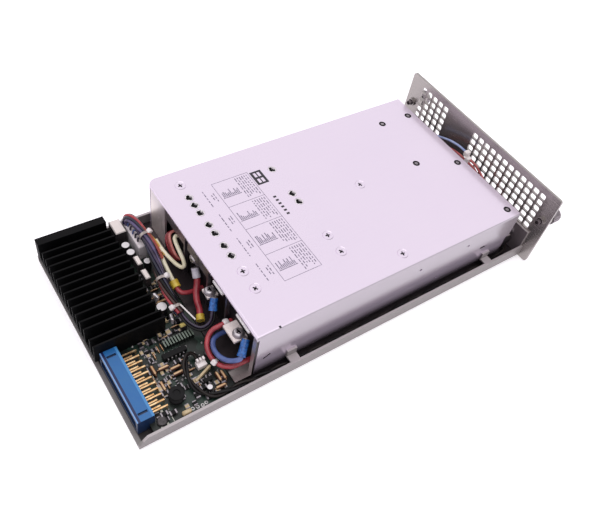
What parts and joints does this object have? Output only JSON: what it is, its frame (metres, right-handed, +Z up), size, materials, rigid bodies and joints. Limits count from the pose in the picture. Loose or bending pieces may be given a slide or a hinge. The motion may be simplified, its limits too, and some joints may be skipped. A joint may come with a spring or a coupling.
{
  "type": "power supply module",
  "caption": "Flat power supply module: sheet tray with vented front panel and captive screws, closed power box, rear control board, finned heat sink and blind-mating connector.",
  "frame": {"origin": "centre of the footprint, on the tray's underside", "axes": "+X from the rear connector to the front panel, +Y from the near side to the far side, +Z up"},
  "size_m": [0.2948, 0.1442, 0.0579],
  "materials": {
    "tray_metal": "satin",
    "panel_metal": "satin",
    "cover_metal": "satin",
    "base_metal": "satin",
    "bracket_metal": "satin",
    "screw_steel": "satin",
    "knob_steel": "satin",
    "black_anodised": "satin",
    "connector_blue": "semi-gloss",
    "contact_gold": "polished",
    "board_green": "satin",
    "bar_metal": "satin",
    "black_plastic": "matte",
    "white_plastic": "matte",
    "capacitor_sleeve": "semi-gloss",
    "coil_copper": "satin",
    "resistor_body": "satin",
    "converter_case": "satin",
    "transformer_tape": "matte",
    "bundle_violet": "satin",
    "cream_wire": "satin",
    "red_wire": "satin",
    "blue_wire": "satin",
    "black_wire": "satin",
    "yellow_sleeve": "satin"
  },
  "bodies": {
    "module": {"tray": "tray_metal", "front_panel": "panel_metal", "box_cover": "cover_metal", "box_base": "base_metal", "side_clips": "base_metal", "bay_brackets": "bracket_metal", "box_screws": "screw_steel", "panel_screws": "screw_steel", "cover_screws": "screw_steel", "converter_screws": "screw_steel", "cover_rivets": "screw_steel", "board_screws": "screw_steel", "heat_sink_screws": "screw_steel", "terminal_studs": "screw_steel", "box_spacers": "screw_steel", "board_standoffs": "screw_steel", "captive_sleeves": "knob_steel", "heat_sink": "black_anodised", "connector_housing": "connector_blue", "connector_contacts": "contact_gold", "control_board": "board_green", "power_board": "board_green", "output_bars": "bar_metal", "ring_lugs": "bar_metal", "terminal_blocks": "black_plastic", "relay": "black_plastic", "chips": "black_plastic", "resistor_network": "black_plastic", "filter_choke": "black_plastic", "tie_wraps": "white_plastic", "white_sleeves": "white_plastic", "wire_header": "white_plastic", "plug_header": "white_plastic", "film_capacitors": "white_plastic", "capacitors": "capacitor_sleeve", "bulk_capacitors": "capacitor_sleeve", "coil": "coil_copper", "axial_resistors": "resistor_body", "resistor_row": "resistor_body", "converter_1": "converter_case", "converter_2": "converter_case", "converter_3": "converter_case", "converter_4": "converter_case", "transformer": "transformer_tape", "harness_bundle": "bundle_violet", "harness_tail": "bundle_violet", "cream_leads": "cream_wire", "red_leads": "red_wire", "feed_lead": "red_wire", "red_loop": "red_wire", "front_leads_red": "red_wire", "blue_loop": "blue_wire", "front_lead_blue": "blue_wire", "black_cable": "black_wire", "yellow_sleeves": "yellow_sleeve"},
    "near_screw": {"captive_screw_near": "knob_steel", "captive_clip_near": "knob_steel"},
    "far_screw": {"captive_screw_far": "knob_steel", "captive_clip_far": "knob_steel"}
  },
  "joints": [
    {"name": "near_screw_turn", "type": "hinge", "parent": "module", "child": "near_screw", "pos_m": [0.1354, -0.0666, 0.0362], "axis": [1, 0, 0], "continuous": true},
    {"name": "far_screw_turn", "type": "hinge", "parent": "module", "child": "far_screw", "pos_m": [0.1354, 0.0657, 0.0362], "axis": [1, 0, 0], "continuous": true}
  ]
}
